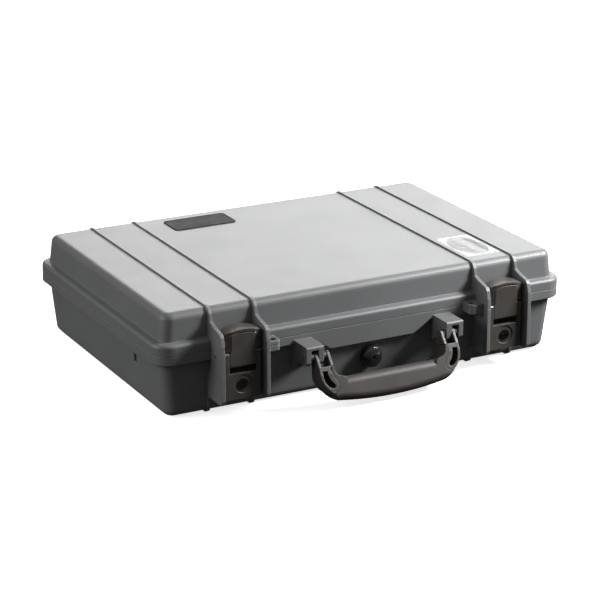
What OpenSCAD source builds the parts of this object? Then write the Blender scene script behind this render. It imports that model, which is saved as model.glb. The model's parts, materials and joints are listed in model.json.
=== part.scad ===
// Hard-shell laptop case: two moulded shells hinged at the back, two keyed
// double-throw latches, a swinging carry handle and a purge valve on the front.
// X runs along the front, Y to the back, Z up; the rib feet stand on z = 0.

/* [Case] */
// Width over the flange
flange_w = 504; // [440:1:560]
// Depth over the flange
flange_d = 332.8; // [300:0.5:380]
// Height from the feet to the top of the lid ribs
case_h = 120.4; // [112:0.2:150]
// Height of the parting plane, the top face of the base
parting_z = 75; // [72:0.5:84]
// Gap between the closed rims
parting_gap = 0.4; // [0.3:0.1:0.8]
// Thickness of the shell walls
wall_t = 4; // [3:0.1:4.5]
// Corner radius of the shell walls, seen from above
wall_r = 12.5; // [11:0.5:22]
// Radius of the lid's top edge
lid_edge_r = 8.5; // [6:0.5:12]
// Radius of the base's bottom edge
base_edge_r = 10; // [6:0.5:11]
// Inward slope of the side walls per mm of height
side_draft = 0.1; // [0.06:0.005:0.14]
// Inward slope of the front and back walls per mm of height
front_draft = 0.06; // [0.02:0.005:0.08]

/* [Flange and seal] */
// How far the flange stands out of the wall
flange_out = 7.4; // [7:0.1:11]
// Corner radius of the flange
flange_r = 20.5; // [19:0.5:32]
// Height of the lid flange
lid_flange_h = 12.2; // [10:0.2:13]
// Radius of the lid flange's upper edge
flange_edge_r = 4; // [1:0.5:5]
// Height of the base flange's upright face
base_flange_h = 9.5; // [7:0.5:11]
// Width of the seal cord's section
seal_w = 4.6; // [3.5:0.1:5]
// Height of the seal cord's section
seal_h = 3.2; // [2.5:0.1:3.6]
// How far the seal reaches in over the shell wall
seal_under = 2; // [0.5:0.1:2.2]
// Space round the seal in its groove
seal_gap = 0.2; // [0.1:0.05:0.3]

/* [Ribs and feet] */
// Distance between the middles of a latch's two ribs
rib_pair = 52.7; // [50:0.1:60]
// Width of the thin ribs
rib_w = 3.2; // [2:0.1:3.6]
// How far the thin ribs stand out of the shells
rib_h = 1.7; // [1.2:0.1:2.4]
// How far the lid's thin ribs stand out of its front
rib_front = 3.6; // [2.4:0.1:4.6]
// Thickness of the walls beside each latch
cheek_t = 4; // [3.4:0.1:5]
// How far the walls beside a latch stand out of the flange
cheek_out = 24.6; // [22:0.2:30]
// Height of the lower end of those walls
cheek_z0 = 20.5; // [16:0.5:21]

/* [Latches] */
// Distance of each latch's middle from the end of the flange
latch_in = 89.5; // [70:0.5:110]
// How far the latch face lies behind the front of its walls
latch_inset = 7; // [5:0.5:9]
// Width of the latch lever
lever_w = 41; // [38:0.5:42]
// Height of the lever's free end
lever_z0 = 22.5; // [18:0.5:26]
// Height of the lever plate's upper edge
lever_z1 = 51.5; // [49:0.5:53]
// Thickness of the lever plate
plate_t = 4.6; // [3.6:0.1:5]
// Depth of the lever's side arms
arm_d = 12.5; // [11:0.5:13]
// Width of the claw's tongue, between the lever's arms
tongue_w = 30; // [24:0.5:31]
// Width of the claw's head
head_w = 42; // [38:0.5:44]
// Height of the claw's head above its shoulders, at its ends
head_h = 20.3; // [19.5:0.1:23]
// Rise of the claw's crown in its middle
crown_h = 3.6; // [2:0.1:5]
// Distance that the claw's hook reaches back over the lid's lip
hook_d = 18.5; // [15:0.5:19]
// Height of the lid lip that the hook holds, above the parting plane
lip_h = 14.1; // [13.6:0.1:15]
// How far the lid lip stands out of the flange
lip_out = 7; // [5:0.5:8]
// Space between the hook and the lip
hook_gap = 0.3; // [0.2:0.05:0.5]
// Radius of the lever's pivot pin
lever_pin_r = 1.6; // [1.3:0.1:2]
// Radius of the pin between lever and claw
claw_pin_r = 1.3; // [1:0.1:1.6]
// Radius of the claw's eye round that pin
claw_eye_r = 2.8; // [2.4:0.1:3.4]
// Height of the open gap between the lever plate and the claw's eye
claw_gap = 6.2; // [5:0.1:7]
// Space between the claw's tongue and each arm
tongue_gap = 0.8; // [0.5:0.1:1.2]

/* [Locks] */
// Height of the key lock's middle
lock_z = 39.3; // [37:0.1:42]
// Radius of the lock barrel
barrel_r = 4.4; // [4:0.1:5]
// Radius of the turning plug
plug_r = 3; // [2.4:0.1:3.4]
// Reach of the lock cam from its axis
cam_reach = 12.4; // [11:0.1:12.6]
// Radius of the round recess about the lock
recess_r = 10.4; // [8:0.1:11]

/* [Handle] */
// Offset of handle, valve and centre panel from the case's middle
front_shift = 3.5; // [0:0.1:6]
// Half the distance between the arms' inner faces
grip_half = 69; // [60:0.2:76]
// Thickness of each prong of a handle arm
prong_t = 2.6; // [2.2:0.1:3.4]
// Clear width between the two prongs of an arm
prong_gap = 11.8; // [10:0.1:13]
// Height of the handle's pivot
pivot_z = 57; // [56:0.2:58]
// Distance of the pivot in front of the flange
pivot_out = 23.6; // [22.5:0.2:25]
// Outward lean of the hanging handle, in degrees
handle_lean = 21; // [14:1:24]
// Distance of the handle's front face before its pivot
handle_face = 10.2; // [9:0.2:11]
// Depth of the handle, front to back
handle_d = 22; // [19:0.5:23]
// Distance from the pivot to the grip's lower edge, in its middle
handle_reach = 54.8; // [50:0.2:56]
// Distance from the pivot to the grip's upper edge
grip_top = 26; // [24:0.2:30]
// Rise of the grip's lower edge at its ends
grip_bow = 4.6; // [2:0.2:6]
// Radius of the grip's long edges
grip_r = 8; // [5:0.5:10]
// Distance from the pivot to the arms' cross bar, and the bar's thickness
bar_at = 12.1; // [10:0.1:13]
bar_t = 4.4; // [3:0.1:5]
// Space between each outer prong and the ear beside it
ear_side = 5.4; // [4:0.1:6]
// Radius of the handle's pins
handle_pin_r = 2; // [1.6:0.1:2.4]
// Thickness of the ears that carry the handle
ear_t = 6.2; // [5:0.1:6.6]
// Height of the plate over the ears
ear_top_t = 4; // [3:0.2:5]

/* [Valve] */
// Height of the purge valve's middle
valve_z = 34.5; // [33:0.5:42]
// Radius of the valve knob
knob_r = 12.4; // [11:0.2:14]
// Radius of the valve's tube through the wall
tube_r = 6; // [5:0.1:7]

/* [Padlock lugs] */
// Radius of the padlock holes
padlock_r = 4; // [3:0.1:4.4]
// Distance of each padlock hole from the free side of its lug
padlock_in = 6.8; // [6:0.1:8]
// Width of each lug
lug_w = 17; // [15:0.5:22]
// How far each lug stands out of the flange
lug_out = 17.1; // [15:0.1:19]
// Thickness of the lug on the base, below the parting plane
lug_base_t = 5.8; // [4:0.1:9]
// Thickness of the lug on the lid
lug_lid_t = 4.4; // [4:0.1:9]

/* [Hinge] */
// Radius of the hinge knuckles
knuckle_r = 4.4; // [4:0.1:5]
// Radius of the hinge pins
hinge_pin_r = 2; // [1.6:0.1:2.4]
// Width of each hinge
hinge_w = 48; // [44:0.5:50]
// Space beside and round each knuckle
knuckle_gap = 0.5; // [0.3:0.1:0.8]

/* [Foam] */
// Thickness of the pad under the laptop
pad_t = 12; // [8:0.5:16]
// Width of the laptop recess
recess_w = 404; // [320:1:420]
// Depth of the laptop recess, front to back
recess_d = 256; // [200:1:264]
// Space between the base's foam and the lid's
foam_between = 6.5; // [3:0.5:20]
// Space between foam and shell
foam_gap = 0.5; // [0.3:0.1:1]

/* [Strap recesses] */
// Width of the recess in each end wall of the base
strap_w = 13; // [8:0.5:20]
// Height of that recess
strap_h = 10; // [6:0.5:14]
// Depth of that recess into the wall
strap_d = 2.6; // [1:0.1:3]
// Distance of the recess from the front of the flange
strap_in = 70.4; // [50:0.2:120]
// Height of the middle of the recess
strap_z = 49; // [40:0.5:54]

/* [Labels] */
// Width of the name plate on the lid
badge_w = 78; // [60:1:90]
// Depth of the name plate
badge_d = 38; // [28:1:44]
// Thickness of the name plate
badge_t = 1.2; // [0.8:0.1:2]
// Width of the clear label film
film_w = 42; // [30:1:46]
// Length of the label film
film_d = 70; // [50:1:80]

/* [Hidden] */
$fn = 48;

LEFT = -1;
RIGHT = 1;
// Radial space of a pin that is held fast, and of one that turns
fast_gap = 0.02;
run_gap = 0.06;
// Small overlap that makes a cut go right through
eps = 0.05;
hull_fn = 36;

// Shell sizes
body_hx = flange_w / 2 - flange_out;
body_hy = flange_d / 2 - flange_out;
flange_y = -flange_d / 2;
base_z0 = rib_h;
lid_z1 = case_h - rib_h;
lid_z0 = parting_z + parting_gap;
inner_r = wall_r - wall_t;
inner_z0 = base_z0 + wall_t;
inner_edge = min(base_edge_r - 2.5, inner_r - foam_gap - 0.5);
inner_z1 = lid_z1 - wall_t;
lid_inner_edge = min(lid_edge_r - 2.5, inner_r - foam_gap - 0.5);
function base_hx(z) = body_hx - side_draft * (parting_z - z);
function base_hy(z) = body_hy - front_draft * (parting_z - z);
function lid_hx(z) = body_hx - side_draft * (z - lid_z0);
function lid_hy(z) = body_hy - front_draft * (z - lid_z0);
// Half width and half depth at height z, inset from the outer face, for a tub's end at z_end
function base_at(z, inset, z_end) = [base_hx(z) - inset, base_hy(z) - inset, z_end];
function lid_at(z, inset, z_end) = [lid_hx(z) - inset, lid_hy(z) - inset, z_end];

// Latch places, as [y, z] in the plane across the rib pair
latch_x = flange_w / 2 - latch_in;
cheek_y = flange_y - cheek_out;
latch_y = cheek_y + latch_inset;
shoulder_z = parting_z + 1.2;
claw_axis = [latch_y + claw_eye_r, lever_z1 + claw_gap + claw_eye_r];
lever_axis = [latch_y + 8, parting_z - 4.5];
arm_t = (lever_w - tongue_w) / 2 - tongue_gap;
lip_z = parting_z + lip_h;
hook_z = lip_z + hook_gap;
head_z = shoulder_z + head_h;
lip_y = flange_y - lip_out;
cheek_in = rib_pair / 2 - cheek_t / 2;
cheek_top = parting_z + 27.3;

// Lock places
lock_back = latch_y + 16;
cam_t = 2;
strike_x = cam_reach + 0.8;
strike_t = 2.8;

// Handle places; the handle's own frame hangs straight down from the pivot, facing -Y
pivot = [flange_y - pivot_out, pivot_z];
ear_front = pivot[0] - 5;
handle_back = handle_d - handle_face;
gap_in = grip_half + prong_t;
gap_out = gap_in + prong_gap;
prong_out = gap_out + prong_t;
ear_slot0 = gap_out - 1.2;
ear_in = ear_slot0 - ear_t;
ear_slot1 = prong_out + ear_side;
ear_out = ear_slot1 + ear_t - 0.8;
ear_plate_z = pivot_z + 9;
eye_r = 5;
panel_half = 51.5;
panel_slant = 22;
// Front of the leaning grip, where its lower front edge is roundest
handle_front = pivot[0] - (handle_face - grip_r) * cos(handle_lean)
    - (handle_reach - grip_r) * sin(handle_lean) - grip_r;

// Frame: the origin lies under the middle of the closed case, handle included
hinge_axis = [flange_d / 2 + 1, parting_z + parting_gap / 2];
frame_shift = -(handle_front + hinge_axis[0] + knuckle_r) / 2;

case_grey = [0.27, 0.28, 0.29];
latch_black = [0.16, 0.155, 0.15];
foam_grey = [0.2, 0.2, 0.21];
steel = [0.6, 0.61, 0.62];

module placed() { translate([0, frame_shift, 0]) children(); }
module at_latch(side) { placed() translate([side * latch_x, 0, 0]) children(); }

// Extrudes a [y, z] outline along X, from x0
module across(x0, t) { translate([x0, 0, 0]) rotate([90, 0, 90]) linear_extrude(t) children(); }

// Extrudes an [x, z] outline towards +Y, from y0
module inward(y0, t) { translate([0, y0 + t, 0]) rotate([90, 0, 0]) linear_extrude(t) children(); }

// A cylinder along X about the axis [y, z]
module rod_x(axis, r, x0, length) {
    translate([x0, axis[0], axis[1]]) rotate([0, 90, 0]) cylinder(r = r, h = length);
}

// A cylinder along Y, running back from y0
module rod_y(x, z, r, y0, length) { translate([x, y0, z]) rotate([-90, 0, 0]) cylinder(r = r, h = length); }

// A flat rectangle with round corners
module round_rect(w, d, r) {
    square([w - 2 * r, d], center = true);
    square([w, d - 2 * r], center = true);
    for (sx = [-1, 1], sy = [-1, 1]) translate([sx * (w / 2 - r), sy * (d / 2 - r)]) circle(r);
}

// A drafted block with round upright corners and one rolled edge. Its ends are each
// [half width, half depth, height]; the rolled end's size is measured where its edge starts
module tub(rolled, plain, r, edge) {
    dir = plain[2] > rolled[2] ? 1 : -1;
    hull() {
        for (sx = [-1, 1], sy = [-1, 1]) {
            translate([sx * (rolled[0] - r), sy * (rolled[1] - r), rolled[2] + dir * edge])
                rotate_extrude($fn = hull_fn) intersection() {
                    translate([r - edge, 0]) circle(edge, $fn = 24);
                    translate([0, dir > 0 ? -edge : 0]) square([r + edge, edge]);
                }
            translate([sx * (plain[0] - r), sy * (plain[1] - r), plain[2] - (dir > 0 ? 0.01 : 0)])
                cylinder(r = r, h = 0.01, $fn = hull_fn);
        }
    }
}

// Sweeps an [outward, z] profile round a rectangle with round corners
module rim_sweep(hx, hy, r) {
    for (turn = [0, 180]) rotate([0, 0, turn]) {
        translate([hx, hy - r, 0]) rotate([90, 0, 0]) linear_extrude(2 * (hy - r)) children();
        rotate([0, 0, 90]) translate([hy, hx - r, 0]) rotate([90, 0, 0])
            linear_extrude(2 * (hx - r)) children();
        translate([hx - r, hy - r, 0]) rotate_extrude(angle = 90) translate([r, 0]) children();
        translate([r - hx, hy - r, 0]) rotate([0, 0, 90]) rotate_extrude(angle = 90)
            translate([r, 0]) children();
    }
}

// Outline of the base seen from the side, with the thin ribs standing proud of it
module base_rib_outline() {
    y_top = base_hy(parting_z - base_flange_h) + rib_h;
    y_low = base_hy(base_z0) + rib_h;
    polygon([[-y_top, parting_z - base_flange_h], [-y_low, 8.5], [-y_low + 2, 3], [-y_low + 7.5, 0],
        [y_low - 7.5, 0], [y_low - 2, 3], [y_low, 8.5], [y_top, parting_z - base_flange_h]]);
}

// Outline of the lid seen from the side, with the thin ribs standing proud of it
module lid_rib_outline() {
    y_low = lid_hy(lid_z0) + rib_h;
    y_top = lid_hy(lid_z1) + rib_h;
    y_front = -lid_hy(lid_z1) - rib_front;
    polygon([[-y_low, lid_z0 + lid_flange_h - 1], [y_front - 2, cheek_top + 3], [y_front, case_h - 7],
        [y_front + 4.2, case_h - 1.6], [y_front + 11.2, case_h], [y_top - 8.5, case_h],
        [y_top - 2.6, case_h - 3], [y_top, case_h - 9.5], [y_low, lid_z0 + lid_flange_h - 1]]);
}

// Lower part of a wall beside a latch, moulded with the base
module base_cheek_outline() {
    y_in = -base_hy(parting_z) + wall_t / 2;
    polygon([[y_in, parting_z], [cheek_y, parting_z], [cheek_y - 0.6, cheek_z0 + 14.5],
        [cheek_y - 0.6, cheek_z0 + 5], [cheek_y + 0.8, cheek_z0 + 1.4], [cheek_y + 4, cheek_z0],
        [y_in, cheek_z0]]);
}

// Upper part of that wall, moulded with the lid, sloping back to the thin rib
module lid_cheek_outline() {
    y_in = -lid_hy(lid_z0) + wall_t / 2;
    polygon([[y_in, lid_z0], [cheek_y, lid_z0], [cheek_y + 0.6, parting_z + 11],
        [cheek_y + 3, parting_z + 20.5], [cheek_y + 6, cheek_top - 3.3], [cheek_y + 21, cheek_top],
        [-lid_hy(lid_z1) - rib_front - 2, cheek_top + 3], [y_in, cheek_top + 3]]);
}

module rib_pairs(t) {
    for (side = [LEFT, RIGHT], s = [-1, 1]) across(side * latch_x + s * rib_pair / 2 - t / 2, t) children();
}

// Knuckles of one hinge: the base has the two outer ones, the lid the middle one
module hinge_knuckles(side, of_base, grow) {
    third = hinge_w / 4;
    runs = of_base ? [[-hinge_w / 2, third], [hinge_w / 2 - third, third]]
        : [[-hinge_w / 2 + third + knuckle_gap, hinge_w - 2 * (third + knuckle_gap)]];
    for (run = runs) rod_x(hinge_axis, knuckle_r + grow, side * latch_x + run[0] - grow, run[1] + 2 * grow);
}

// Ties a knuckle to its flange with a web that reaches no further than the axis
module knuckle_webs(side, of_base) {
    third = hinge_w / 4;
    runs = of_base ? [[-hinge_w / 2, third], [hinge_w / 2 - third, third]]
        : [[-hinge_w / 2 + third + knuckle_gap, hinge_w - 2 * (third + knuckle_gap)]];
    web_z = of_base ? hinge_axis[1] - knuckle_r : lid_z0;
    web_h = of_base ? parting_z - web_z : hinge_axis[1] + knuckle_r - web_z;
    for (run = runs) translate([side * latch_x + run[0], hinge_axis[0] - 4, web_z])
        cube([run[1], 4, web_h]);
}

module hinge_bores(r) {
    for (side = [LEFT, RIGHT]) rod_x(hinge_axis, r, side * latch_x - hinge_w / 2 - 2, hinge_w + 4);
}

// Half of a padlock lug: a rounded pad that stands out of the flange
module lug(side, z0, t) {
    free_x = latch_x - rib_pair / 2 - cheek_t / 2 - lug_w + 0.2;
    corner_r = 5;
    mirror([side < 0 ? 1 : 0, 0, 0]) translate([free_x, flange_y, z0]) linear_extrude(t) difference() {
        union() {
            translate([0, -lug_out + corner_r]) square([lug_w, lug_out + 4 - corner_r]);
            translate([corner_r, -lug_out]) square([lug_w - corner_r, lug_out]);
            translate([corner_r, -lug_out + corner_r]) circle(corner_r);
        }
        translate([padlock_in, -lug_out / 2 - 0.6]) circle(padlock_r);
    }
}

// The ears and top plate that carry one arm of the handle
module handle_ears(side) {
    x_of = function(a, b) side > 0 ? front_shift + a : front_shift - b;
    wall_y = -base_hy(pivot_z) + wall_t / 2;
    ear_z0 = pivot_z - 8.4;
    plate_z1 = ear_plate_z + ear_top_t;
    for (ear = [[ear_in, ear_slot0], [ear_slot1, ear_out]]) across(x_of(ear[0], ear[1]), ear[1] - ear[0])
        polygon([[wall_y, plate_z1 - 0.5], [ear_front + 1.5, plate_z1 - 0.5],
            [ear_front, plate_z1 - 2], [ear_front, ear_z0 + 3.6], [ear_front + 1.8, ear_z0 + 0.8],
            [ear_front + 4, ear_z0], [ear_front + 17, ear_z0], [wall_y, ear_z0 - 12]]);
    across(x_of(ear_in, ear_out), ear_out - ear_in)
        polygon([[wall_y, ear_plate_z], [ear_front, ear_plate_z], [ear_front, plate_z1 - 1.2],
            [ear_front + 1.2, plate_z1], [wall_y, plate_z1]]);
}

// Panel under the flange behind the handle, with slanted ends
module centre_panel_outline() {
    panel_z0 = pivot_z - 4;
    panel_z1 = parting_z - base_flange_h + 1;
    polygon([[-panel_half, panel_z0], [panel_half, panel_z0], [panel_half + panel_slant, panel_z1],
        [-panel_half - panel_slant, panel_z1]]);
}

// The base's walls and all that stands outside them
module base_outside() {
    tub(base_at(base_z0 + base_edge_r, 0, base_z0), base_at(parting_z, 0, parting_z), wall_r, base_edge_r);
    rim_sweep(flange_w / 2, flange_d / 2, flange_r)
        polygon([[-flange_out - 2.5, parting_z], [0, parting_z], [0, parting_z - base_flange_h],
            [-1.2, parting_z - base_flange_h - 1.1], [-flange_out - 0.6, parting_z - base_flange_h - 3.6],
            [-flange_out - 2.5, parting_z - base_flange_h - 3.6]]);
    translate([front_shift, 0, 0]) inward(flange_y, flange_out + wall_t / 2) centre_panel_outline();
    rib_pairs(cheek_t) base_cheek_outline();
    rib_pairs(rib_w) base_rib_outline();
    for (side = [LEFT, RIGHT]) {
        lug(side, parting_z - lug_base_t, lug_base_t);
        handle_ears(side);
        hinge_knuckles(side, true, 0);
        knuckle_webs(side, true);
        strike(side);
    }
    rod_y(front_shift, valve_z, knob_r + 2.2, valve_face, wall_t);
}

module base_shell() color(case_grey) placed() difference() {
    union() {
        difference() {
            base_outside();
            tub(base_at(inner_z0 + inner_edge, wall_t, inner_z0), base_at(parting_z + 1, wall_t, parting_z + 1),
                inner_r, inner_edge);
        }
        rod_y(front_shift, valve_z, nut_r + 2, valve_face + 2, valve_back - valve_face - 2);
    }
    for (side = [LEFT, RIGHT]) {
        hinge_knuckles(side, false, knuckle_gap);
        rod_x(lever_axis, lever_pin_r + fast_gap, side * latch_x - rib_pair / 2 - cheek_t, rib_pair + 2 * cheek_t);
        rod_x(pivot, handle_pin_r + fast_gap, front_shift + (side > 0 ? ear_in - 1 : -ear_out - 1),
            ear_out - ear_in + 2);
        translate([side * base_hx(strap_z) - strap_d, flange_y + strap_in, strap_z - strap_h / 2])
            cube([2 * strap_d, strap_w, strap_h]);
    }
    hinge_bores(hinge_pin_r + fast_gap);
    rod_y(front_shift, valve_z, tube_r + fast_gap * 5, valve_face - 4, 16);
}

// The catch that the lock cam turns behind
module strike(side) {
    x0 = side * latch_x + strike_x;
    wall_y = -base_hy(lock_z) + 1;
    lip_front = lock_back - 3.4;
    translate([x0, lip_front, lock_z - 5]) cube([strike_t, wall_y - lip_front, 10]);
    translate([x0 - 5, lip_front, lock_z - 5]) cube([5 + eps, 2, 10]);
}

module lid_shell() color(case_grey) placed() difference() {
    union() {
        tub(lid_at(lid_z1 - lid_edge_r, 0, lid_z1), lid_at(lid_z0, 0, lid_z0), wall_r, lid_edge_r);
        rim_sweep(flange_w / 2, flange_d / 2, flange_r)
            polygon(concat([[-flange_out - 2.5, lid_z0], [0, lid_z0]],
                [for (a = [0:15:90]) [flange_edge_r * (cos(a) - 1),
                    lid_z0 + lid_flange_h - flange_edge_r * (1 - sin(a))]],
                [[-flange_out - 0.6, lid_z0 + lid_flange_h + 0.6],
                [-flange_out - 2.5, lid_z0 + lid_flange_h + 0.6]]));
        rib_pairs(cheek_t) lid_cheek_outline();
        rib_pairs(rib_w) lid_rib_outline();
        for (side = [LEFT, RIGHT]) {
            lug(side, lid_z0, lug_lid_t);
            hinge_knuckles(side, false, 0);
            knuckle_webs(side, false);
            translate([side * latch_x - cheek_in - eps, lip_y, lip_z - 6])
                cube([2 * (cheek_in + eps), lip_out + flange_out + wall_t / 2, 6]);
        }
    }
    tub(lid_at(inner_z1 - lid_inner_edge, wall_t, inner_z1), lid_at(lid_z0 - 1, wall_t, lid_z0 - 1),
        inner_r, lid_inner_edge);
    rim_sweep(flange_w / 2, flange_d / 2, flange_r)
        translate([seal_in - seal_gap, lid_z0 - 1]) square([seal_w + 2 * seal_gap, seal_h + seal_gap + 1]);
    for (side = [LEFT, RIGHT]) hinge_knuckles(side, true, knuckle_gap);
    hinge_bores(hinge_pin_r + run_gap);
}

// Inner edge of the seal, counted outwards from the flange's face
seal_in = -flange_out - seal_under;

module lid_seal() color([0.1, 0.1, 0.1]) placed()
    rim_sweep(flange_w / 2, flange_d / 2, flange_r)
        translate([seal_in, lid_z0]) square([seal_w, seal_h]);

module hinge_pin(side) color(steel) placed()
    rod_x(hinge_axis, hinge_pin_r, side * latch_x - hinge_w / 2 - 0.4, hinge_w + 0.8);
module hinge_pin_left() { hinge_pin(LEFT); }
module hinge_pin_right() { hinge_pin(RIGHT); }

foam_r = inner_r - foam_gap;
floor_edge = min(inner_edge, pad_t - 1);
foam_side = wall_t + foam_gap;
pad_z0 = inner_z0;
pad_z1 = pad_z0 + pad_t;
foam_top = parting_z - 0.8;

module base_foam_pad() color(foam_grey) placed()
    tub(base_at(pad_z0 + floor_edge, foam_side, pad_z0), base_at(pad_z1, foam_side, pad_z1), foam_r, floor_edge);

module base_foam_surround() color(foam_grey) placed() difference() {
    tub(base_at(foam_top - 1.5, foam_side, foam_top), base_at(pad_z1, foam_side, pad_z1), foam_r, 1.5);
    translate([0, 0, pad_z1 - 1]) linear_extrude(parting_z) round_rect(recess_w, recess_d, 14);
    rod_y(front_shift, valve_z, nut_r + 3, -base_hy(valve_z), 14);
}

lid_foam_z0 = foam_top + foam_between;

module lid_foam() color(foam_grey) placed()
    tub(lid_at(inner_z1 - lid_inner_edge, foam_side, inner_z1), lid_at(lid_foam_z0, foam_side, lid_foam_z0),
        foam_r, lid_inner_edge);

badge_at = [-67.5, 117];
film_at = [latch_x + 1, -100];

module name_plate() color([0.06, 0.06, 0.07]) placed() translate([badge_at[0], badge_at[1], lid_z1])
    linear_extrude(badge_t) round_rect(badge_w, badge_d, 5);

module label_film() color([0.85, 0.86, 0.87]) placed() translate([film_at[0], film_at[1], lid_z1])
    linear_extrude(0.3) round_rect(film_w, film_d, 2);

// Purge valve: a flanged tube through the wall, held by a nut, with a screwed knob
nut_r = 9.5;
nut_t = 3;
valve_face = -base_hy(valve_z) - 1;
valve_flange_t = 2.4;
valve_seal_t = 0.9;
valve_back = -base_hy(valve_z) + wall_t + 0.8;

module valve_body() color(latch_black) placed() difference() {
    union() {
        rod_y(front_shift, valve_z, knob_r - 2, valve_face - valve_flange_t, valve_flange_t);
        rod_y(front_shift, valve_z, tube_r, valve_face, valve_back + valve_seal_t + nut_t + 0.4 - valve_face);
    }
    rod_y(front_shift, valve_z, tube_r - 2, valve_face - valve_flange_t - 1, valve_back - valve_face + 20);
}

module valve_nut() color(latch_black) placed() difference() {
    translate([front_shift, valve_back + valve_seal_t, valve_z]) rotate([-90, 0, 0])
        cylinder(r = nut_r, h = nut_t, $fn = 6);
    rod_y(front_shift, valve_z, tube_r + fast_gap, valve_back - 1, nut_t + 4);
}

module valve_seal() color([0.1, 0.1, 0.1]) placed() difference() {
    rod_y(front_shift, valve_z, tube_r + 2.2, valve_back, valve_seal_t);
    rod_y(front_shift, valve_z, tube_r + fast_gap, valve_back - 1, 4);
}

knob_t = 9.6;
knob_back = valve_face - valve_flange_t - 0.3;
knob_crown = 2.2;

module valve_knob() color([0.08, 0.08, 0.08]) placed() translate([front_shift, knob_back, valve_z])
    rotate([90, 0, 0]) difference() {
        union() {
            rotate_extrude() polygon([[0, 0], [knob_r - 1, 0], [knob_r, 1], [knob_r, knob_t - 4],
                [knob_r - 0.8, knob_t - 2.2], [knob_r - 3, knob_t - 0.9], [knob_r - 7, knob_t],
                [0, knob_t + 0.2]]);
            translate([0, 0, -valve_flange_t - 6]) cylinder(r = tube_r - 2 - run_gap, h = valve_flange_t + 7);
        }
        translate([0, 0, knob_t - 1.2]) cylinder(r = 2.2, h = 3);
        for (turn = [0:30:330]) rotate([0, 0, turn]) translate([knob_r + 0.9, 0, -1])
            cylinder(r = 1.5, h = knob_t - 2);
    }

// Turns the handle's own frame, pivot at the origin, to how it hangs on the case
module hung() placed() translate([front_shift, pivot[0], pivot[1]]) rotate([-handle_lean, 0, 0]) children();

// Side view of a handle arm: a round eye at the pivot that widens to the handle's full depth
module arm_side_outline() {
    foot = -handle_reach + grip_bow;
    circle(eye_r);
    polygon([[-4.6, 1.96], [-9.2, -bar_at], [-handle_face, -bar_at - 8], [-handle_face, foot + 9],
        [-handle_face + 2.5, foot + 3], [-handle_face + 8, foot + 1], [handle_back - 8, foot + 1],
        [handle_back - 2.5, foot + 3], [handle_back, foot + 9], [handle_back, -bar_at - 10],
        [eye_r - 0.4, 1.96]]);
}

// Front view of the right arm: two thin prongs, a cross bar and a hooked leg below it
module arm_front_outline() {
    out = prong_out;
    difference() {
        polygon([[grip_half, eye_r + 1], [out, eye_r + 1], [out, -20], [out - 0.6, -25.5],
            [out - 2.8, -31.2], [out - 6.6, -36.4], [out - 10.6, -40.2], [out - 13.3, -42.6],
            [out - 14.6, -41.6], [out - 14.6, -40], [out - 18.4, -37.6], [out - 20.2, -33.4],
            [out - 18.2, -28.8], [out - 14.8, -23.8], [out - 13.5, -17.5], [out - 13.6, -bar_at - 0.6],
            [grip_half, -bar_at + 0.6]]);
        translate([gap_in, -bar_at]) square([prong_gap, bar_at + eye_r + 2]);
    }
}

// The bent pocket below the cross bar, in the front of the leg
module arm_pocket_outline() {
    out = prong_out;
    top = -bar_at - bar_t;
    polygon([[out - 2.6, top], [out - 9.6, top - 0.6], [out - 9, top - 4], [out - 11, top - 10.3],
        [out - 15.6, top - 15.5], [out - 16, top - 18.6], [out - 12.6, top - 20.1],
        [out - 8, top - 17.7], [out - 4.4, top - 13], [out - 2.8, top - 6.5]]);
}

// Front outline of the rubber that fills the bend inside and below a leg
module grip_bend_outline() {
    out = prong_out;
    polygon([[grip_end - 9, -grip_top - 1], [grip_end - 6, -grip_top + 0.6], [out - 21.4, -bar_at - 11],
        [out - 18.2, -bar_at - 8], [out - 17, -bar_at - 3], [out - 16.9, -bar_at - 0.2],
        [out - 14, -bar_at - 1], [out - 13.9, -17.5], [out - 15.2, -24], [out - 18.6, -29],
        [out - 20.6, -33.4], [out - 18.7, -37.9], [out - 15, -40.4], [out - 15, -41.9],
        [out - 13.4, -43.2], [out - 11.4, -41.3], [out - 16.2, -46], [out - 20.5, -48.9],
        [grip_end - 3, -handle_reach + grip_bow - 0.4], [grip_end - 9, -handle_reach + 8]]);
}

// Side view of the rubber between two distances from the pivot, with its long edges rounded
module grip_side_outline(from, to) {
    translate([handle_back - handle_d / 2, -(from + to) / 2]) round_rect(handle_d, to - from, grip_r);
}

grip_end = prong_out - 22;
grip_bow_r = (grip_end * grip_end + grip_bow * grip_bow) / (2 * grip_bow);
core_z0 = -handle_reach + grip_bow + 6;
core_h = handle_reach - grip_bow - grip_top - 12;
core_y0 = -handle_face + 6;
core_d = handle_d - 12;
// Inside the rubber, where the core enters each leg
core_end = prong_out - 17;
overmould_gap = 0.1;

module handle_frame() color(latch_black) hung() difference() {
    union() {
        for (side = [LEFT, RIGHT]) mirror([side < 0 ? 1 : 0, 0, 0]) {
            intersection() {
                inward(-handle_face - 1, handle_d + 2) arm_front_outline();
                across(grip_half - 10, prong_out - grip_half + 20) arm_side_outline();
            }
            rod_x([0, 0], eye_r - 0.6, gap_in - eps, ear_in - gap_in - 0.5);
            rod_x([0, 0], eye_r - 0.6, prong_out - eps, ear_side - 0.5);
        }
        translate([-core_end, core_y0, core_z0]) cube([2 * core_end, core_d, core_h]);
    }
    for (side = [LEFT, RIGHT]) mirror([side < 0 ? 1 : 0, 0, 0])
        inward(-handle_face - 1, handle_d - 5) arm_pocket_outline();
    rod_x([0, 0], handle_pin_r + run_gap, -ear_out, 2 * ear_out);
}

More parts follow.
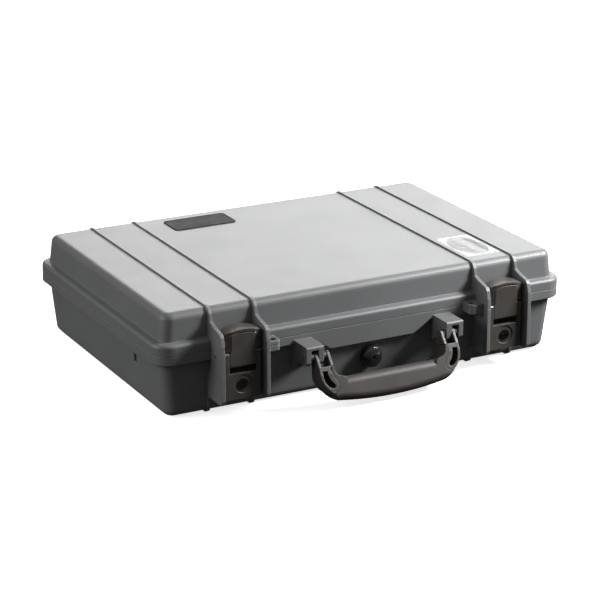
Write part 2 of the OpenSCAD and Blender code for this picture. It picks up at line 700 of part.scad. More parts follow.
// Soft grip over the frame's core: a bar that is bowed along its lower edge, and a bend at each end
module handle_grip() color([0.13, 0.12, 0.12]) hung() difference() {
    tall = handle_reach + 20;
    union() {
        intersection() {
            translate([0, 0, grip_bow_r - handle_reach]) rotate([90, 0, 0]) rotate_extrude($fn = 360)
                translate([grip_bow_r - tall / 2, handle_face - handle_d / 2]) round_rect(tall, handle_d, grip_r);
            across(-grip_end, 2 * grip_end) grip_side_outline(grip_top, handle_reach + 20);
        }
        for (side = [LEFT, RIGHT]) mirror([side < 0 ? 1 : 0, 0, 0]) intersection() {
            across(0, prong_out) grip_side_outline(bar_at - 8, handle_reach - grip_bow);
            inward(-handle_face - 1, handle_d + 2) grip_bend_outline();
        }
    }
    translate([-prong_out, core_y0 - overmould_gap, core_z0 - overmould_gap])
        cube([2 * prong_out, core_d + 2 * overmould_gap, core_h + 2 * overmould_gap]);
}

module handle_pin(side) color(steel) placed()
    rod_x(pivot, handle_pin_r, front_shift + (side > 0 ? grip_half - 0.6 : -ear_out - 0.3),
        ear_out - grip_half + 0.9);
module handle_pin_left() { handle_pin(LEFT); }
module handle_pin_right() { handle_pin(RIGHT); }

// Side arm of the lever: a strip along the face with a round eye at the pivot
module lever_arm_outline() {
    translate(lever_axis) circle(5.2);
    polygon([[latch_y, lever_z0], [latch_y, shoulder_z - 2.6], [latch_y + 1.2, shoulder_z - 1.2],
        [lever_axis[0], lever_axis[1] + 5.2], [lever_axis[0] + 5.2, lever_axis[1]],
        [latch_y + arm_d, lever_z1], [latch_y + arm_d, lever_z0 + 9], [latch_y + plate_t + 1, lever_z0]]);
}

module lever(side) color(latch_black) at_latch(side) difference() {
    union() {
        translate([-lever_w / 2, latch_y, lever_z0]) cube([lever_w, plate_t, lever_z1 - lever_z0]);
        for (s = [-1, 1]) across(s > 0 ? lever_w / 2 - arm_t : -lever_w / 2, arm_t) lever_arm_outline();
    }
    rod_x(claw_axis, claw_eye_r + 1.4, -tongue_w / 2 - tongue_gap, tongue_w + 2 * tongue_gap);
    rod_x(claw_axis, claw_pin_r + fast_gap, -lever_w / 2 - 1, lever_w + 2);
    rod_x(lever_axis, lever_pin_r + run_gap, -lever_w / 2 - 1, lever_w + 2);
    rod_y(0, lock_z, barrel_r + fast_gap, latch_y - 1, plate_t + 2);
    rod_y(0, lock_z, recess_r, latch_y - 1, 1.9);
}
module lever_left() { lever(LEFT); }
module lever_right() { lever(RIGHT); }

// Radius of the claw's crown and of its bowed back
crown_r = (pow(head_w / 2, 2) + pow(crown_h, 2)) / (2 * crown_h);
flank_w = 8;
flank_d = 2.4;

// The claw's hook side: all of the head behind its front plate and above the lid's lip
module claw_body() {
    translate([-tongue_w / 2, latch_y, claw_axis[1]]) cube([tongue_w, 5.2, shoulder_z + 2 - claw_axis[1]]);
    rod_x(claw_axis, claw_eye_r, -tongue_w / 2, tongue_w);
    intersection() {
        union() {
            translate([-head_w / 2, latch_y, shoulder_z]) cube([head_w, 6, head_h + crown_h]);
            translate([-head_w / 2, latch_y, hook_z]) cube([head_w, hook_d, head_h + crown_h]);
        }
        union() {
            rod_y(0, head_z + crown_h - crown_r, crown_r, latch_y - 1, hook_d + 2);
            translate([-head_w / 2, latch_y, shoulder_z - 1]) cube([head_w, hook_d, 10]);
        }
        translate([0, latch_y + hook_d - crown_r, 0]) cylinder(r = crown_r, h = case_h, $fn = 96);
    }
}

module claw(side) color(latch_black) at_latch(side) difference() {
    claw_body();
    rod_x(claw_axis, claw_pin_r + run_gap, -tongue_w / 2 - 1, tongue_w + 2);
    // Groove that follows the crown
    intersection() {
        difference() {
            rod_y(0, head_z + crown_h - crown_r, crown_r - 3.2, latch_y - 1, 1.9);
            rod_y(0, head_z + crown_h - crown_r, crown_r - 4.3, latch_y - 2, 4);
        }
        translate([-head_w, latch_y - 1, shoulder_z + 10]) cube([2 * head_w, 2, head_h]);
    }
    // Bevelled flanks with three upright grooves, and grooves down each side
    for (s = [0, 1]) mirror([s, 0, 0]) {
        translate([0, 0, shoulder_z - 1]) linear_extrude(head_h + crown_h + 2)
            polygon([[head_w / 2 - flank_w, latch_y - 1], [head_w / 2 - flank_w, latch_y],
                [head_w / 2 + 0.5, latch_y + flank_d], [head_w / 2 + 0.5, latch_y - 1]]);
        for (i = [0:2]) translate([head_w / 2 - 6.4 + i * 2.2, latch_y - 1, shoulder_z + 2.5])
            cube([0.9, 2.6 + i * 0.6, head_h - 9]);
        for (y = [4.4, 7.6, 10.8]) translate([head_w / 2 - 1.2, latch_y + y, shoulder_z - 1])
            cube([2.4, 1.4, head_h + crown_h + 2]);
    }
}
module claw_left() { claw(LEFT); }
module claw_right() { claw(RIGHT); }

module lever_pin(side) color(steel) at_latch(side)
    rod_x(lever_axis, lever_pin_r, -rib_pair / 2 - cheek_t / 2 + 0.1, rib_pair + cheek_t - 0.2);
module lever_pin_left() { lever_pin(LEFT); }
module lever_pin_right() { lever_pin(RIGHT); }

module claw_pin(side) color(steel) at_latch(side)
    rod_x(claw_axis, claw_pin_r, -lever_w / 2 + 0.2, lever_w - 0.4);
module claw_pin_left() { claw_pin(LEFT); }
module claw_pin_right() { claw_pin(RIGHT); }

// Lock barrel: a collar in the lever's recess and a body that runs back to the cam
module lock_barrel(side) color(steel) at_latch(side) difference() {
    union() {
        rod_y(0, lock_z, barrel_r, latch_y + 0.2, lock_back - latch_y - 0.2);
        rod_y(0, lock_z, barrel_r + 1.2, latch_y - 0.4, 1.3);
    }
    rod_y(0, lock_z, plug_r + run_gap, latch_y - 1, lock_back - latch_y + 2);
}
module lock_barrel_left() { lock_barrel(LEFT); }
module lock_barrel_right() { lock_barrel(RIGHT); }

module lock_nut(side) color(steel) at_latch(side) difference() {
    translate([0, latch_y + plate_t, lock_z]) rotate([-90, 0, 0]) cylinder(r = 7, h = 2.4, $fn = 6);
    rod_y(0, lock_z, barrel_r + fast_gap, latch_y, plate_t + 4);
}
module lock_nut_left() { lock_nut(LEFT); }
module lock_nut_right() { lock_nut(RIGHT); }

stub_r = 1.8;

// Turning plug with its key slot; a stub at the back carries the cam
module lock_plug(side) color(steel) at_latch(side) difference() {
    union() {
        rod_y(0, lock_z, plug_r, latch_y - 0.2, lock_back - latch_y + 0.2);
        rod_y(0, lock_z, stub_r, lock_back - eps, cam_t + 1);
    }
    translate([-0.5, latch_y - 1, lock_z - 2.1]) cube([1, 4, 4.2]);
}
module lock_plug_left() { lock_plug(LEFT); }
module lock_plug_right() { lock_plug(RIGHT); }

module lock_cam(side) color(steel) at_latch(side) difference() {
    union() {
        rod_y(0, lock_z, 4, lock_back + 0.2, cam_t);
        translate([-3, lock_back + 0.2, lock_z - cam_reach]) cube([6, cam_t, cam_reach]);
    }
    rod_y(0, lock_z, stub_r + fast_gap, lock_back - 1, cam_t + 3);
}
module lock_cam_left() { lock_cam(LEFT); }
module lock_cam_right() { lock_cam(RIGHT); }

base_shell();
lid_shell();
lid_seal();
hinge_pin_left();
hinge_pin_right();
lid_foam();
base_foam_pad();
base_foam_surround();
name_plate();
label_film();
valve_body();
valve_nut();
valve_seal();
valve_knob();
handle_frame();
handle_grip();
handle_pin_left();
handle_pin_right();
lever_left();
claw_left();
lever_pin_left();
claw_pin_left();
lock_barrel_left();
lock_nut_left();
lock_plug_left();
lock_cam_left();
lever_right();
claw_right();
lever_pin_right();
claw_pin_right();
lock_barrel_right();
lock_nut_right();
lock_plug_right();
lock_cam_right();
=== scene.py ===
# Laptop hard case on a pale studio floor: soft edges, plastics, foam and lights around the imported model.
import json
from math import cos, hypot, pi, radians, sin

import bmesh
import bpy
from mathutils import Matrix, Vector
from mathutils.bvhtree import BVHTree


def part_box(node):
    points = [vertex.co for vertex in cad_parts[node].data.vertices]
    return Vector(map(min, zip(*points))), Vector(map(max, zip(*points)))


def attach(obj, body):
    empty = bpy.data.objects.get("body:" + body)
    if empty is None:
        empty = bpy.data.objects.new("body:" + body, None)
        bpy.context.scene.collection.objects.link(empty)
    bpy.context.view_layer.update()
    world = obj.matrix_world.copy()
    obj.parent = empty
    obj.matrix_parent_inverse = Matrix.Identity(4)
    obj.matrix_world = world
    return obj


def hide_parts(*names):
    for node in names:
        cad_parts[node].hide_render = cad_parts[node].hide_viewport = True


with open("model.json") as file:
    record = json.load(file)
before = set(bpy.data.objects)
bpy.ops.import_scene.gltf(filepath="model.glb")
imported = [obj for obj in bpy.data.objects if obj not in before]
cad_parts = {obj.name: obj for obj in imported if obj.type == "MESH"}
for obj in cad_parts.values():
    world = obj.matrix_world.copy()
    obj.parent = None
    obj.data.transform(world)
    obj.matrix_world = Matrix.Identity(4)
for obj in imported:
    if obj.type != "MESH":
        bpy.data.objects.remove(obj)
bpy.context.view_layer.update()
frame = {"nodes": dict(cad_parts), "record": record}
sides = {"left": -1, "right": 1}
mm = 0.001

# Camera: where it looks, from what side, and how far away it stands
camera = {
    "azimuth": -28.24, "elevation": 19.37, "roll": 0.36,
    "distance": 2.5612, "lens": 134.1,
    "lookAt": (0.00296, 0.0, 0.04777),  # y is counted from the middle of the flange
    "hingeToMiddle": 0.1674,            # the hinge axis lies this far behind that middle
}
hingeLow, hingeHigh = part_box("hinge_pin_left")
flangeMiddle = (hingeLow.y + hingeHigh.y) / 2 - camera["hingeToMiddle"]


def aimAt(obj, target, roll=0.0):
    look = (target - obj.location).to_track_quat("-Z", "Y").to_matrix()
    obj.rotation_euler = (look @ Matrix.Rotation(radians(roll), 3, "Z")).to_euler()


def placeCamera():
    az, el = radians(camera["azimuth"]), radians(camera["elevation"])
    target = Vector(camera["lookAt"]) + Vector((0, flangeMiddle, 0))
    lens = bpy.data.cameras.new("studioCamera")
    lens.lens = camera["lens"]
    lens.sensor_width = 36
    lens.clip_end = 50
    obj = bpy.data.objects.new("studioCamera", lens)
    bpy.context.scene.collection.objects.link(obj)
    obj.location = target + camera["distance"] * Vector((sin(az) * cos(el), -cos(az) * cos(el), sin(el)))
    aimAt(obj, target, camera["roll"])
    bpy.context.scene.camera = obj


placeCamera()
print("camera placed")


# Node helpers: every material is built from these
def startMaterial(name):
    mat = bpy.data.materials.new(name)
    mat.use_nodes = True
    return mat, mat.node_tree, mat.node_tree.nodes["Principled BSDF"]


def addNode(tree, kind, values=None, **settings):
    node = tree.nodes.new(kind)
    for key, value in settings.items():
        setattr(node, key, value)
    for key, value in (values or {}).items():
        node.inputs[key].default_value = value
    return node


def noiseField(tree, where, scale, detail=3.0, rough=0.5):
    field = addNode(tree, "ShaderNodeTexNoise", {"Scale": scale, "Detail": detail, "Roughness": rough})
    tree.links.new(where, field.inputs["Vector"])
    return field.outputs["Fac"]


def spread(tree, source, low, high, fromLow=0.3, fromHigh=0.7):
    step = addNode(tree, "ShaderNodeMapRange",
                   {"From Min": fromLow, "From Max": fromHigh, "To Min": low, "To Max": high})
    tree.links.new(source, step.inputs["Value"])
    return step.outputs["Result"]


def blendColors(tree, factor, first, second):
    mix = addNode(tree, "ShaderNodeMix", data_type="RGBA")
    tree.links.new(factor, mix.inputs["Factor"])
    for slot, value in ((6, first), (7, second)):
        if isinstance(value, tuple):
            mix.inputs[slot].default_value = (*value, 1)
        else:
            tree.links.new(value, mix.inputs[slot])
    return mix.outputs[2]


# A moulded plastic: mottled colour, a fine grain, edges that catch light through rounded normals and are
# painted paler, partly as wear and partly as painted highlight
def moulded(name, look):
    mat, tree, shader = startMaterial(name)
    link = tree.links.new
    where = addNode(tree, "ShaderNodeTexCoord").outputs["Object"]
    cloud = spread(tree, noiseField(tree, where, look["cloudScale"], 4.0), 0, 1)
    color = blendColors(tree, cloud, look["dark"], look["light"])
    edge = addNode(tree, "ShaderNodeBevel", {"Radius": look["edge"]}, samples=6)
    shape = addNode(tree, "ShaderNodeNewGeometry")
    turn = addNode(tree, "ShaderNodeVectorMath", operation="DOT_PRODUCT")
    link(edge.outputs["Normal"], turn.inputs[0])
    link(shape.outputs["Normal"], turn.inputs[1])
    # edges painted paler, broken into patches: part wear, part painted highlight
    edgeWearAndHighlight = spread(tree, turn.outputs["Value"], look["edgeWearAndHighlight"], 0, 0.8, 0.995)
    patches = spread(tree, noiseField(tree, where, 160, 5.0), 0.35, 1)
    wearAndHighlight = addNode(tree, "ShaderNodeMath", operation="MULTIPLY")
    link(edgeWearAndHighlight, wearAndHighlight.inputs[0])
    link(patches, wearAndHighlight.inputs[1])
    link(blendColors(tree, wearAndHighlight.outputs["Value"], color, look["wearAndHighlight"]), shader.inputs["Base Color"])
    sheen = noiseField(tree, where, look["cloudScale"] * 3, 4.0)
    link(spread(tree, sheen, *look["roughness"]), shader.inputs["Roughness"])
    grain = addNode(tree, "ShaderNodeBump", {"Strength": look["grainDepth"], "Distance": 0.0002})
    link(noiseField(tree, where, look["grainScale"], 2.0, 0.6), grain.inputs["Height"])
    link(edge.outputs["Normal"], grain.inputs["Normal"])
    link(grain.outputs["Normal"], shader.inputs["Normal"])
    shader.inputs["IOR"].default_value = look["ior"]
    shader.inputs["Coat Weight"].default_value = look.get("coat", 0)
    shader.inputs["Coat Roughness"].default_value = look.get("coatRoughness", 0.2)
    return mat


# the paler edge colour and its strength in each look are part wear and part painted highlight
plastics = {
    "case": {"dark": (0.096, 0.098, 0.1), "light": (0.112, 0.114, 0.116), "wearAndHighlight": (0.42, 0.42, 0.41),
             "cloudScale": 9, "edge": 0.0009, "edgeWearAndHighlight": 0.4, "roughness": (0.47, 0.495),
             "grainScale": 800, "grainDepth": 0.75, "ior": 1.5},
    "latch": {"dark": (0.04, 0.036, 0.032), "light": (0.052, 0.047, 0.042), "wearAndHighlight": (0.24, 0.23, 0.21),
              "cloudScale": 40, "edge": 0.0007, "edgeWearAndHighlight": 0.55, "roughness": (0.36, 0.46),
              "grainScale": 1700, "grainDepth": 0.18, "ior": 1.5, "coat": 0.15},
    "handle": {"dark": (0.034, 0.031, 0.028), "light": (0.045, 0.041, 0.037), "wearAndHighlight": (0.34, 0.32, 0.3),
               "cloudScale": 30, "edge": 0.0008, "edgeWearAndHighlight": 0.8, "roughness": (0.42, 0.52),
               "grainScale": 1600, "grainDepth": 0.25, "ior": 1.5},
    "black": {"dark": (0.014, 0.014, 0.014), "light": (0.02, 0.02, 0.02), "wearAndHighlight": (0.08, 0.08, 0.08),
              "cloudScale": 40, "edge": 0.0005, "edgeWearAndHighlight": 0.3, "roughness": (0.4, 0.5),
              "grainScale": 1500, "grainDepth": 0.2, "ior": 1.5},
    "knob": {"dark": (0.008, 0.008, 0.008), "light": (0.012, 0.012, 0.012), "wearAndHighlight": (0.05, 0.05, 0.05),
             "cloudScale": 40, "edge": 0.0008, "edgeWearAndHighlight": 0.2, "roughness": (0.16, 0.24),
             "grainScale": 900, "grainDepth": 0.03, "ior": 1.5, "coat": 0.5, "coatRoughness": 0.08},
    "plate": {"dark": (0.008, 0.008, 0.009), "light": (0.012, 0.012, 0.013), "wearAndHighlight": (0.3, 0.3, 0.3),
              "cloudScale": 25, "edge": 0.0007, "edgeWearAndHighlight": 0.9, "roughness": (0.5, 0.6),
              "grainScale": 1200, "grainDepth": 0.06, "ior": 1.12},
    "grip": {"dark": (0.026, 0.022, 0.02), "light": (0.036, 0.031, 0.028), "wearAndHighlight": (0.1, 0.09, 0.085),
             "cloudScale": 22, "edge": 0.0012, "edgeWearAndHighlight": 0.2, "roughness": (0.5, 0.6),
             "grainScale": 1100, "grainDepth": 0.4, "ior": 1.48},
    "seal": {"dark": (0.012, 0.012, 0.012), "light": (0.018, 0.018, 0.018), "wearAndHighlight": (0.04, 0.04, 0.04),
             "cloudScale": 60, "edge": 0.0006, "edgeWearAndHighlight": 0.2, "roughness": (0.42, 0.55),
             "grainScale": 1300, "grainDepth": 0.15, "ior": 1.5},
}
finishes = {name: moulded(name + "Plastic", look) for name, look in plastics.items()}

# Open-cell foam: tiny pits all over, their bottoms painted darker as painted shade, and a soft sheen
foamLook = {"dark": (0.012, 0.012, 0.013), "light": (0.05, 0.05, 0.052), "cellScale": 1400, "roughness": 0.92}


def openCellFoam():
    mat, tree, shader = startMaterial("openCellFoam")
    where = addNode(tree, "ShaderNodeTexCoord").outputs["Object"]
    cells = addNode(tree, "ShaderNodeTexVoronoi", {"Scale": foamLook["cellScale"]})
    tree.links.new(where, cells.inputs["Vector"])
    # pit bottoms painted dark: painted shade in the hollows
    depth = spread(tree, cells.outputs["Distance"], 0, 1, 0, 0.7)
    tree.links.new(blendColors(tree, depth, foamLook["dark"], foamLook["light"]), shader.inputs["Base Color"])
    pits = addNode(tree, "ShaderNodeBump", {"Strength": 0.7, "Distance": 0.0004})
    tree.links.new(cells.outputs["Distance"], pits.inputs["Height"])
    tree.links.new(pits.outputs["Normal"], shader.inputs["Normal"])
    shader.inputs["Roughness"].default_value = foamLook["roughness"]
    shader.inputs["Sheen Weight"].default_value = 0.3
    return mat


# Brushed steel for the pins, and a dark steel for the locks: fine lines and a varied polish
darkSteelLook = {"dark": (0.03, 0.03, 0.032), "light": (0.09, 0.09, 0.095), "roughness": (0.22, 0.38)}
steelLook = {"dark": (0.3, 0.3, 0.31), "light": (0.55, 0.55, 0.56), "roughness": (0.24, 0.42)}


def brushedSteel(name, look):
    mat, tree, shader = startMaterial(name)
    where = addNode(tree, "ShaderNodeTexCoord").outputs["Object"]
    stretch = addNode(tree, "ShaderNodeMapping", {"Scale": (40, 900, 900)})
    tree.links.new(where, stretch.inputs["Vector"])
    lines = noiseField(tree, stretch.outputs["Vector"], 1.0, 4.0)
    tree.links.new(blendColors(tree, spread(tree, lines, 0, 1), look["dark"], look["light"]),
                   shader.inputs["Base Color"])
    tree.links.new(spread(tree, lines, *look["roughness"]), shader.inputs["Roughness"])
    scratch = addNode(tree, "ShaderNodeBump", {"Strength": 0.15, "Distance": 0.0001})
    tree.links.new(lines, scratch.inputs["Height"])
    tree.links.new(scratch.outputs["Normal"], shader.inputs["Normal"])
    shader.inputs["Metallic"].default_value = 1.0
    return mat


# Clear blank film: mostly see-through, with milky stripes and a slightly rippled face
filmLook = {"tint": (0.8, 0.81, 0.82), "milk": (0.1, 0.3), "roughness": 0.3, "stripe": (90, 6, 90)}


def clearFilm():
    mat, tree, shader = startMaterial("clearFilm")
    where = addNode(tree, "ShaderNodeTexCoord").outputs["Object"]
    stripes = addNode(tree, "ShaderNodeMapping", {"Scale": filmLook["stripe"]})
    tree.links.new(where, stripes.inputs["Vector"])
    milk = spread(tree, noiseField(tree, stripes.outputs["Vector"], 1.0, 3.0), *filmLook["milk"])
    tree.links.new(milk, shader.inputs["Alpha"])
    ripple = addNode(tree, "ShaderNodeBump", {"Strength": 0.08, "Distance": 0.001})
    tree.links.new(noiseField(tree, where, 90, 2.0), ripple.inputs["Height"])
    tree.links.new(ripple.outputs["Normal"], shader.inputs["Normal"])
    shader.inputs["Base Color"].default_value = (*filmLook["tint"], 1)
    shader.inputs["Roughness"].default_value = filmLook["roughness"]
    return mat


finishes["foam"] = openCellFoam()
finishes["steel"] = brushedSteel("brushedSteel", steelLook)
finishes["darkSteel"] = brushedSteel("darkSteel", darkSteelLook)
finishes["film"] = clearFilm()
print("materials made:", len(finishes))


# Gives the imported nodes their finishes, by the slots that the record names
def dressNodes():
    for part in frame["record"]["subparts"]:
        node = frame["nodes"][part["node"]]
        slot = part["material_slot"]
        if part["node"].startswith("lock_"):
            slot = "darkSteel"
        node.data.materials.clear()
        node.data.materials.append(finishes[slot])


dressNodes()
print("packed nodes dressed")


# Turns a finished bmesh into a piece that rides on a body and takes its finish from a slot
def makePiece(name, mesh, body, slot, stands=(), sharp=40):
    data = bpy.data.meshes.new(name)
    bmesh.ops.recalc_face_normals(mesh, faces=mesh.faces)
    for face in mesh.faces:
        face.smooth = True
    for edge in mesh.edges:
        if len(edge.link_faces) == 2 and edge.calc_face_angle(0) > radians(sharp):
            edge.smooth = False
    mesh.to_mesh(data)
    mesh.free()
    data.materials.append(finishes[slot])
    obj = bpy.data.objects.new(name, data)
    bpy.context.scene.collection.objects.link(obj)
    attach(obj, body)
    if stands:
        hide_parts(*stands)
    return obj


# A rounded rectangle as a closed loop of points
def roundedLoop(width, depth, radius, steps=8):
    points = []
    for cx, cy, start in ((1, 1, 0), (-1, 1, 90), (-1, -1, 180), (1, -1, 270)):
        for i in range(steps + 1):
            angle = radians(start + 90 * i / steps)
            points.append(Vector((cx * (width / 2 - radius) + radius * cos(angle),
                                  cy * (depth / 2 - radius) + radius * sin(angle), 0)))
    return points


# Stacks rounded loops into a closed form: each ring is (inset, height)
def stackRings(mesh, center, width, depth, radius, rings, steps=8):
    layers = []
    for inset, z in rings:
        loop = roundedLoop(width - 2 * inset, depth - 2 * inset, max(radius - inset, 0.0004), steps)
        layers.append([mesh.verts.new(center + p + Vector((0, 0, z))) for p in loop])
    for low, high in zip(layers, layers[1:]):
        for i in range(len(low)):
            j = (i + 1) % len(low)
            mesh.faces.new((low[i], low[j], high[j], high[i]))
    mesh.faces.new(list(reversed(layers[0])))
    mesh.faces.new(layers[-1])


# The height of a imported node's upper face at (x, y), found by a ray from above
def topOf(nodeName):
    mesh = frame["nodes"][nodeName].data
    tree = BVHTree.FromPolygons([v.co for v in mesh.vertices], [f.vertices for f in mesh.polygons])
    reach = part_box(nodeName)[1].z + 0.01

    def height(x, y):
        place = tree.ray_cast(Vector((x, y, reach)), Vector((0, 0, -1)))[0]
        return place.z if place else reach - 0.01
    return height


lidTop = topOf("lid_shell")


# Name plate: a blank black field inside a raised rim
namePlate = {"thick": 1.2 * mm, "rimWidth": 1.6 * mm, "rimDrop": 0.35 * mm,
             "corner": 5 * mm, "edge": 0.35 * mm, "innerRings": (0.25, 0.45)}


def makeNamePlate():
    low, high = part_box("name_plate")
    size = high - low
    middle = Vector(((low.x + high.x) / 2, (low.y + high.y) / 2, 0))
    rim, edge, drop, thick = (namePlate[key] for key in ("rimWidth", "edge", "rimDrop", "thick"))
    mesh = bmesh.new()
    stackRings(mesh, middle, size.x, size.y, namePlate["corner"],
               [(0, 0), (0, thick - edge), (edge * 0.3, thick - edge * 0.3), (edge, thick),
                (rim, thick), (rim + edge, thick - drop)]
               + [(size.y * share, thick - drop) for share in namePlate["innerRings"]])
    for vert in mesh.verts:
        vert.co.z += lidTop(vert.co.x, vert.co.y)
    makePiece("namePlate", mesh, "lid", "plate", stands=["name_plate"])


makeNamePlate()


# Label film: a thin sheet with softly lifted corners
labelFilm = {"thick": 0.12 * mm, "lift": 0.48 * mm, "cells": 14}


def makeLabelFilm():
    low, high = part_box("label_film")
    count = labelFilm["cells"]
    mesh = bmesh.new()
    sheets = []
    for top in (0, 1):
        grid = []
        for i in range(count + 1):
            row = []
            for j in range(count + 1):
                u, v = i / count, j / count
                corner = max(0.0, hypot(2 * u - 1, 2 * v - 1) - 1) ** 2
                x, y = low.x + u * (high.x - low.x), low.y + v * (high.y - low.y)
                z = lidTop(x, y) + corner * labelFilm["lift"] + top * labelFilm["thick"]
                row.append(mesh.verts.new((x, y, z)))
            grid.append(row)
        sheets.append(grid)
    for grid in sheets:
        for i in range(count):
            for j in range(count):
                mesh.faces.new((grid[i][j], grid[i + 1][j], grid[i + 1][j + 1], grid[i][j + 1]))
    bottom, top = sheets
    for i in range(count):
        for a, b in (((i, 0), (i + 1, 0)), ((i, count), (i + 1, count)),
                     ((0, i), (0, i + 1)), ((count, i), (count, i + 1))):
            mesh.faces.new((bottom[a[0]][a[1]], bottom[b[0]][b[1]], top[b[0]][b[1]], top[a[0]][a[1]]))
    makePiece("labelFilm", mesh, "lid", "film", stands=["label_film"])


makeLabelFilm()
print("name plate and film made")


# Lid foam: a wavy face of rounded peaks that hangs from the lid, flat where it is glued on
lidFoam = {"pitch": 33 * mm, "wave": 9 * mm, "rim": 11 * mm, "cell": 3.7 * mm, "corner": 8 * mm,
           "softEdge": 4 * mm, "softRise": 3 * mm}


def insideRounded(x, y, halfX, halfY, radius):
    dx, dy = abs(x) - (halfX - radius), abs(y) - (halfY - radius)
    return radius - (hypot(max(dx, 0), max(dy, 0)) if dx > 0 and dy > 0 else max(dx, dy))


def gridFoam(name, nodeName, body, depthAt, flatSide, cell, corner):
    low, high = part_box(nodeName)
    middle = (low + high) / 2
    halfX, halfY = (high.x - low.x) / 2, (high.y - low.y) / 2
    countX, countY = int(2 * halfX / cell), int(2 * halfY / cell)
    mesh = bmesh.new()
    sheets = []
    for face in (0, 1):
        grid = []
        for i in range(countX + 1):
            row = []
            for j in range(countY + 1):
                x, y = halfX * (2 * i / countX - 1), halfY * (2 * j / countY - 1)
                # corner cells are drawn in to the rounded outline
                edge = insideRounded(x, y, halfX, halfY, corner)
                if edge < 0:
                    inward = Vector((abs(x) - halfX + corner, abs(y) - halfY + corner)).normalized() * -edge
                    x -= (1 if x > 0 else -1) * inward.x
                    y -= (1 if y > 0 else -1) * inward.y
                    edge = 0
                z = flatSide(middle.x + x, middle.y + y) if face else depthAt(x, y, edge, low, high)
                row.append(mesh.verts.new((middle.x + x, middle.y + y, z)))
            grid.append(row)
        sheets.append(grid)
    for grid in sheets:
        for i in range(countX):
            for j in range(countY):
                mesh.faces.new((grid[i][j], grid[i + 1][j], grid[i + 1][j + 1], grid[i][j + 1]))
    near, far = sheets
    for i in range(countX):
        for j in (0, countY):
            mesh.faces.new((near[i][j], near[i + 1][j], far[i + 1][j], far[i][j]))
    for j in range(countY):
        for i in (0, countX):
            mesh.faces.new((near[i][j], near[i][j + 1], far[i][j + 1], far[i][j]))
    piece = makePiece(name, mesh, body, "foam", stands=[nodeName], sharp=60)
    return piece


def lidWave(x, y, edge, low, high):
    pitch = lidFoam["pitch"]
    wave = (cos(2 * pi * x / pitch) * cos(2 * pi * y / pitch) + 1) / 2
    fade = min(1.0, max(0.0, edge / lidFoam["rim"]))
    soft = min(1.0, edge / lidFoam["softEdge"])
    return low.z + lidFoam["wave"] * wave * fade + lidFoam["softRise"] * (1 - soft) ** 2


gridFoam("lidFoam", "lid_foam", "lid", lidWave, topOf("lid_foam"), lidFoam["cell"], lidFoam["corner"])
print("lid foam made")

# Base foam: a flat pad below and a surround about the laptop recess, each copied from its node with smooth
# shading
baseFoam = {"base_foam_pad": 0.9, "base_foam_surround": 0.95}


def softCopy(name, nodeName, body, slot):
    mesh = bmesh.new()
    mesh.from_mesh(frame["nodes"][nodeName].data)
    bmesh.ops.remove_doubles(mesh, verts=mesh.verts, dist=1e-6)
    bmesh.ops.dissolve_limit(mesh, angle_limit=radians(1), verts=mesh.verts, edges=mesh.edges)
    bmesh.ops.triangulate(mesh, faces=[f for f in mesh.faces if len(f.verts) > 4])
    return makePiece(name, mesh, body, slot, stands=[nodeName], sharp=50)


for pad, fill in baseFoam.items():
    words = pad.split("_")
    piece = softCopy(words[0] + words[1].title() + words[2].title(), pad, "base", "foam")
print("base foam made")

# Studio: a pale floor, a sky of greys, a wide light behind for the sheen on the lid, and one at each side
studio = {
    "floorSize": 14.0, "floorColor": (0.93, 0.93, 0.93), "floorGlow": 0.75, "floorSpeck": 0.995,
    "skyHigh": 0.36, "skyLow": 0.2, "underFloor": 0.05,
    "lights": {
        "backSheet": {"place": (1.75, 3.0, 1.6), "size": (2.6, 1.9), "power": 95, "look": (0, 0, 0.1)},
        "rightSheet": {"place": (0.9, -0.5, 0.75), "size": (0.4, 0.4), "power": 40, "look": (0.2, -0.15, 0.1)},
        "leftSheet": {"place": (-2.0, 0.2, 0.8), "size": (1.2, 0.9), "power": 26, "look": (-0.1, 0, 0.05)},
    },
}


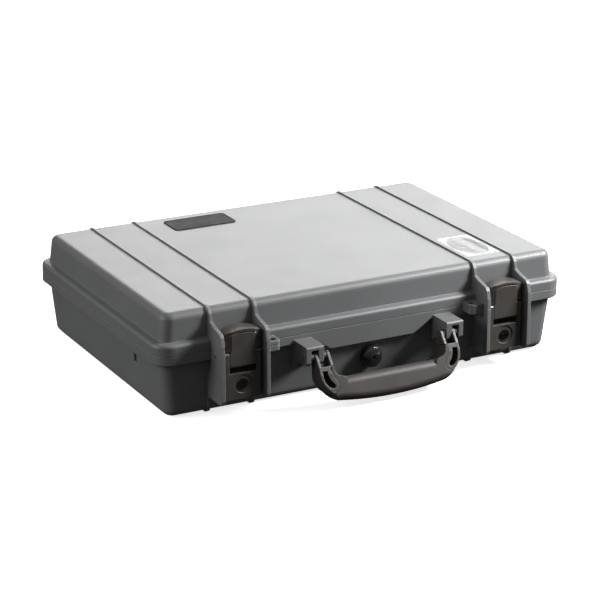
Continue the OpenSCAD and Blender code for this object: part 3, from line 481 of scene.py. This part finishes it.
def makeStudio():
    floor = bmesh.new()
    bmesh.ops.create_grid(floor, x_segments=2, y_segments=2, size=studio["floorSize"] / 2)
    data = bpy.data.meshes.new("studioFloor")
    floor.to_mesh(data)
    floor.free()
    mat, tree, shader = startMaterial("studioFloor")
    where = addNode(tree, "ShaderNodeTexCoord").outputs["Object"]
    speck = noiseField(tree, where, 3.0)
    pale = studio["floorColor"]
    dimmer = tuple(level * studio["floorSpeck"] for level in pale)
    tree.links.new(blendColors(tree, speck, pale, dimmer), shader.inputs["Base Color"])
    shader.inputs["Roughness"].default_value = 0.9
    shader.inputs["Specular IOR Level"].default_value = 0.1
    shader.inputs["Emission Color"].default_value = (1, 1, 1, 1)
    shader.inputs["Emission Strength"].default_value = studio["floorGlow"]
    data.materials.append(mat)
    obj = bpy.data.objects.new("studioFloor", data)
    bpy.context.scene.collection.objects.link(obj)
    obj.visible_diffuse = obj.visible_glossy = False  # the glowing floor doesn't light the case from below
    world = bpy.data.worlds.new("studioWorld")
    world.use_nodes = True
    sky = world.node_tree
    heading = addNode(sky, "ShaderNodeTexCoord").outputs["Generated"]
    split = addNode(sky, "ShaderNodeSeparateXYZ")
    sky.links.new(heading, split.inputs[0])
    ramp = addNode(sky, "ShaderNodeValToRGB")
    levels = ((0.49, studio["underFloor"]), (0.51, studio["skyLow"]), (1.0, studio["skyHigh"]))
    while len(ramp.color_ramp.elements) < len(levels):
        ramp.color_ramp.elements.new(0.5)
    for stop, (place, level) in zip(ramp.color_ramp.elements, levels):
        stop.position, stop.color = place, (level, level, level, 1)
    sky.links.new(spread(sky, split.outputs["Z"], 0, 1, -1, 1), ramp.inputs["Fac"])
    sky.links.new(ramp.outputs["Color"], sky.nodes["Background"].inputs["Color"])
    bpy.context.scene.world = world
    for name, light in studio["lights"].items():
        lamp = bpy.data.lights.new(name, "AREA")
        lamp.shape = "RECTANGLE"
        lamp.size, lamp.size_y = light["size"]
        lamp.energy = light["power"]
        holder = bpy.data.objects.new(name, lamp)
        bpy.context.scene.collection.objects.link(holder)
        holder.location = Vector(light["place"])
        aimAt(holder, Vector(light["look"]))
    bpy.context.scene.view_settings.view_transform = "Standard"
    bpy.context.scene.view_settings.look = "None"


makeStudio()
print("studio lit")
